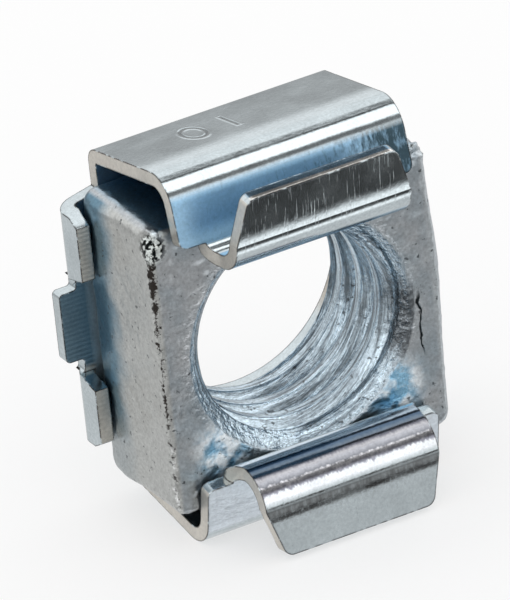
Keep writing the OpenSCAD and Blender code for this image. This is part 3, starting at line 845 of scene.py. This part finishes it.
    # Tap marks: fine lines round the bore, light and dark by turns.
    round_x = add(tree, "Math", [x, radius], operation="DIVIDE")
    round_z = add(tree, "Math", [z, radius], operation="DIVIDE")
    tapped = add(tree, "CombineXYZ", [round_x, y, round_z])
    tapped = add(tree, "Mapping", {"Vector": tapped, "Scale": (1.2, 5.5, 1.2)})
    tapped = add(tree, "TexNoise", {"Vector": tapped, "Scale": 1.0, "Detail": 4.0, "Roughness": 0.75})
    lines = add(tree, "MapRange", [tapped, 0.38, 0.6, 0.38, 1.5])
    # Painted highlight: low on the left the marks fade and the colour is lifted.
    across = add(tree, "MapRange", [x, 0.5, -1.5, 0, 1], interpolation_type="SMOOTHSTEP")
    low_down = add(tree, "MapRange", [z, -1.8, -3.4, 0, 1], interpolation_type="SMOOTHSTEP")
    bright = add(tree, "Math", [across, low_down], operation="MULTIPLY")
    lines = add(tree, "Mix", {0: bright, 2: lines, 3: 1.25}, **FLOAT)
    threaded = add(tree, "MapRange", [radius, 4.95, 4.8, 0, 1])
    lines = add(tree, "Mix", {0: threaded, 2: 1.0, 3: lines}, **FLOAT)
    colour = add(tree, "VectorMath", {0: colour, "Scale": lines}, operation="SCALE")
    tree.links.new(colour, shader.inputs["Base Color"])

    # The painted highlights are also less metallic, so that they scatter the white light as paint does
    # and look brighter.
    painted_glint = add(tree, "Math", [glint, ear_reflection], operation="MULTIPLY")
    painted_glint = add(tree, "MapRange", [painted_glint, 0, 1, 1.0, 0.1])
    tree.links.new(painted_glint, shader.inputs["Metallic"])
    rough = add(tree, "Mix", {0: in_bore, 2: 0.33, 3: 0.2}, **FLOAT)
    rough = add(tree, "Mix", {0: torn, 2: rough, 3: 0.5}, **FLOAT)
    tree.links.new(rough, shader.inputs["Roughness"])

    # Relief in mm: forged skin, granular countersink, tap marks, torn edge and crack.
    fine = add(tree, "TexNoise", {"Vector": place, "Scale": 3.0, "Detail": 5.0})
    fine = add(tree, "Math", [fine, 0.03], operation="MULTIPLY")
    grit = add(tree, "TexNoise", {"Vector": place, "Scale": 5.5, "Detail": 2.0})
    rim = add(tree, "MapRange", [radius, 5.7, 5.0, 0, 1], interpolation_type="SMOOTHSTEP")
    mouth = add(tree, "MapRange", [y, FRONT + 1.1, FRONT + 0.5, 0, 1])
    grit = add(tree, "Math", [grit, rim], operation="MULTIPLY")
    grit = add(tree, "Math", [grit, mouth], operation="MULTIPLY")
    grit = add(tree, "Math", [grit, 0.09], operation="MULTIPLY")
    marks = add(tree, "Math", [tapped, 0.06], operation="MULTIPLY")
    marks = add(tree, "Math", [marks, threaded], operation="MULTIPLY")
    marked = add(tree, "MapRange", [bright, 0, 1, 1, 0.25])
    marks = add(tree, "Math", [marks, marked], operation="MULTIPLY")
    mound = add(tree, "MapRange", [lump, 0.35, 0.65, 0, 0.08])
    mound = add(tree, "Math", [mound, ear_reflection], operation="MULTIPLY")
    ragged = add(tree, "Math", [tear, torn], operation="MULTIPLY")
    ragged = add(tree, "Math", [ragged, -0.2], operation="MULTIPLY")
    cut = add(tree, "Math", [crack, -0.05], operation="MULTIPLY")
    relief = fine
    for part in (grit, marks, mound, ragged, cut):
        relief = add(tree, "Math", [relief, part], operation="ADD")
    bump = add(tree, "Bump", {"Height": relief, "Strength": 1.0, "Distance": MM})
    tree.links.new(bump, shader.inputs["Normal"])
    return made


FLOOR_SHARE = 0.55  # how much of the floor's look is plain white
FLOOR_HALF = 1.5  # half the floor's width, in metres, and the card's
TENT_RADIUS = 0.3  # in metres
TENT_GLOW = 2.0  # brightness of the tent's brightest possible panel
TENT = (  # angle seen from the object's side, 0 in front and 90 above, and brightness there
    (-180, 0.47), (-150, 0.75), (-100, 0.75), (-64, 0.75), (-59, 1.5), (-53, 1.5),
    (-49, 0.45), (-46, 0.06), (-36, 0.06), (-31, 0.65), (-12, 0.70), (-7, 1.1),
    (4, 1.15), (8, 1.35), (31, 1.35), (37, 0.25), (50, 0.20), (54, 1.9),
    (87, 1.9), (90, 0.12), (97, 0.12), (101, 1.2), (150, 1.1), (163, 1.1),
    (169, 0.47), (180, 0.47),
)
CARD_COLOUR = "342e2b"
CARD_AHEAD, CARD_LOW, CARD_HIGH = -40 * MM, -13 * MM, -9.5 * MM  # its place along Y and Z


def floor_material(s):
    """Matt paper floor: pale, so that it keeps only a soft shadow."""
    made, tree = blank("Matt white paper")
    paper = add(tree, "BsdfDiffuse", {"Color": (*s.floor_colour, 1.0)})
    white = add(tree, "Emission", {"Color": (1, 1, 1, 1), "Strength": 1.0})
    seen = add(tree, "LightPath", out="Is Camera Ray")
    share = add(tree, "Math", [seen, FLOOR_SHARE], operation="MULTIPLY")
    paper = add(tree, "MixShader", [share, paper, white])
    add(tree, "OutputMaterial", [paper])
    return made


def card_material():
    """Black card, which metal shows as a dark line."""
    made, tree = blank("Black card")
    made.cycles.emission_sampling = "NONE"
    card = add(tree, "Emission", {"Color": linear(CARD_COLOUR), "Strength": 1.0})
    add(tree, "OutputMaterial", [card])
    return made


def tent_material():
    """White and grey panels of a light tent, laid out by their angle round the object."""
    made, tree = blank("Light tent panels")
    made.cycles.emission_sampling = "NONE"
    place = add(tree, "TexCoord", out="Object")
    _, y, z = add(tree, "SeparateXYZ", [place]).node.outputs
    front = add(tree, "Math", [y, -1.0], operation="MULTIPLY")
    angle = add(tree, "Math", [z, front], operation="ARCTAN2")
    turn = add(tree, "MapRange", [angle, -math.pi, math.pi, 0, 1])
    panels = add(tree, "ValToRGB", [turn])
    stops = [((at + 180) / 360, (*[level / TENT_GLOW] * 3, 1)) for at, level in TENT]
    fill_ramp(panels.node.color_ramp, stops)
    glow = add(tree, "Emission", {"Color": panels, "Strength": TENT_GLOW})
    add(tree, "OutputMaterial", [glow])
    return made


# ---------------------------------------------------------------- operators


def finish_piece(piece, node):
    """Hangs a finished piece under the root body and hides the solid that it stands for."""
    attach(piece, "root")
    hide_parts(node)


class CAGENUT_OT_nut(bpy.types.Operator):
    """Builds the threaded square nut"""

    bl_idname = "cagenut.nut"
    bl_label = "Build the square nut"

    def execute(self, context):
        s = context.scene.cage_nut_nut
        mesh = grid_mesh("nut_block", wear_nut(nut_points(s)))
        mesh.materials.append(nut_material(s))
        finish_piece(link(mesh, "nut_block"), "square_nut")
        return {"FINISHED"}


class CAGENUT_OT_cage(bpy.types.Operator):
    """Finishes the folded spring cage"""

    bl_idname = "cagenut.cage"
    bl_label = "Finish the cage"

    def execute(self, context):
        s = context.scene.cage_nut_cage
        mesh = sheet_mesh(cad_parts["cage"], "spring_cage")
        mesh.materials.append(cage_material(s))
        piece = link(mesh, "spring_cage")
        even = piece.modifiers.new("Flat faces stay flat", "WEIGHTED_NORMAL")
        even.keep_sharp = True
        even.weight = 80
        finish_piece(piece, "cage")
        return {"FINISHED"}


class CAGENUT_OT_stage(bpy.types.Operator):
    """Sets the floor, the light tent, the world and the camera"""

    bl_idname = "cagenut.stage"
    bl_label = "Set the stage"

    def execute(self, context):
        s = context.scene.cage_nut_studio
        scene = context.scene
        scene.view_settings.view_transform = "Standard"

        half, low = FLOOR_HALF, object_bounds()[0].z
        corners = [(-half, -half, low), (half, -half, low), (half, half, low), (-half, half, low)]
        mesh = bpy.data.meshes.new("floor")
        mesh.from_pydata(corners, [], [(0, 1, 2, 3)])
        mesh.materials.append(floor_material(s))
        floor = link(mesh, "floor")
        floor.visible_glossy = False

        mesh = bpy.data.meshes.new("light_tent")
        ball = bmesh.new()
        bmesh.ops.create_icosphere(ball, subdivisions=5, radius=TENT_RADIUS)
        ball.to_mesh(mesh)
        ball.free()
        mesh.materials.append(tent_material())
        tent = link(mesh, "light_tent")

        # A black card low in front of the object draws a dark line in the lower ear's bend.
        lower, upper = (CARD_AHEAD, CARD_LOW), (CARD_AHEAD, CARD_HIGH)
        corners = [(-half, *lower), (half, *lower), (half, *upper), (-half, *upper)]
        mesh = bpy.data.meshes.new("black_card")
        mesh.from_pydata(corners, [], [(0, 1, 2, 3)])
        mesh.materials.append(card_material())
        card = link(mesh, "black_card")
        for piece in (tent, card):
            for ray in ("camera", "diffuse", "transmission", "shadow"):
                setattr(piece, "visible_" + ray, False)
        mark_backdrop(floor, tent, card)

        world = bpy.data.worlds.new("White studio")
        world.use_nodes = True
        world.node_tree.nodes.clear()
        sky = add(world.node_tree, "Background", {"Color": (1, 1, 1, 1), "Strength": 1.0})
        add(world.node_tree, "OutputWorld", [sky])
        scene.world = world

        a, e = s.azimuth, s.elevation
        back = Vector((math.sin(a) * math.cos(e), -math.cos(a) * math.cos(e), math.sin(e)))
        level = Vector((0, 0, 1)).cross(back).normalized()
        right = Matrix.Rotation(s.roll, 3, back) @ level
        up = back.cross(right)
        target = Vector((0, NUT_LOW.y, 0))
        eye = target + back * s.distance + right * s.aside + up * s.above
        camera = bpy.data.objects.new("camera", bpy.data.cameras.new("camera"))
        scene.collection.objects.link(camera)
        camera.data.lens = s.lens
        camera.data.clip_start = 0.01
        turn = Matrix((right, up, back)).transposed()
        camera.matrix_world = Matrix.Translation(eye) @ turn.to_4x4()
        scene.camera = camera
        return {"FINISHED"}


class CAGENUT_PT_panel(bpy.types.Panel):
    """Settings and steps of the cage nut"""

    bl_label = "Cage Nut"
    bl_idname = "CAGENUT_PT_panel"
    bl_space_type = "VIEW_3D"
    bl_region_type = "UI"
    bl_category = "Cage Nut"

    def draw(self, context):
        parts = (("nut", "cagenut.nut"), ("cage", "cagenut.cage"), ("studio", "cagenut.stage"))
        for name, operator in parts:
            group = getattr(context.scene, "cage_nut_" + name)
            box = self.layout.box()
            for key in group.bl_rna.properties.keys():
                if key not in {"rna_type", "name"}:
                    box.prop(group, key)
            box.operator(operator)


CLASSES = (
    NutSettings, CageSettings, StudioSettings,
    CAGENUT_OT_nut, CAGENUT_OT_cage, CAGENUT_OT_stage, CAGENUT_PT_panel,
)
GROUPS = {"cage_nut_nut": NutSettings, "cage_nut_cage": CageSettings, "cage_nut_studio": StudioSettings}


def register():
    """Registers the classes and hangs their settings on the scene."""
    for made in CLASSES:
        bpy.utils.register_class(made)
    for name, group in GROUPS.items():
        setattr(bpy.types.Scene, name, bpy.props.PointerProperty(type=group))


def unregister():
    """Takes the settings off the scene and forgets the classes."""
    for name in GROUPS:
        delattr(bpy.types.Scene, name)
    for made in reversed(CLASSES):
        bpy.utils.unregister_class(made)


def main():
    """Registers the classes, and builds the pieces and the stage."""
    register()
    bpy.ops.cagenut.nut()
    bpy.ops.cagenut.cage()
    bpy.ops.cagenut.stage()


if __name__ == "__main__":
    main()
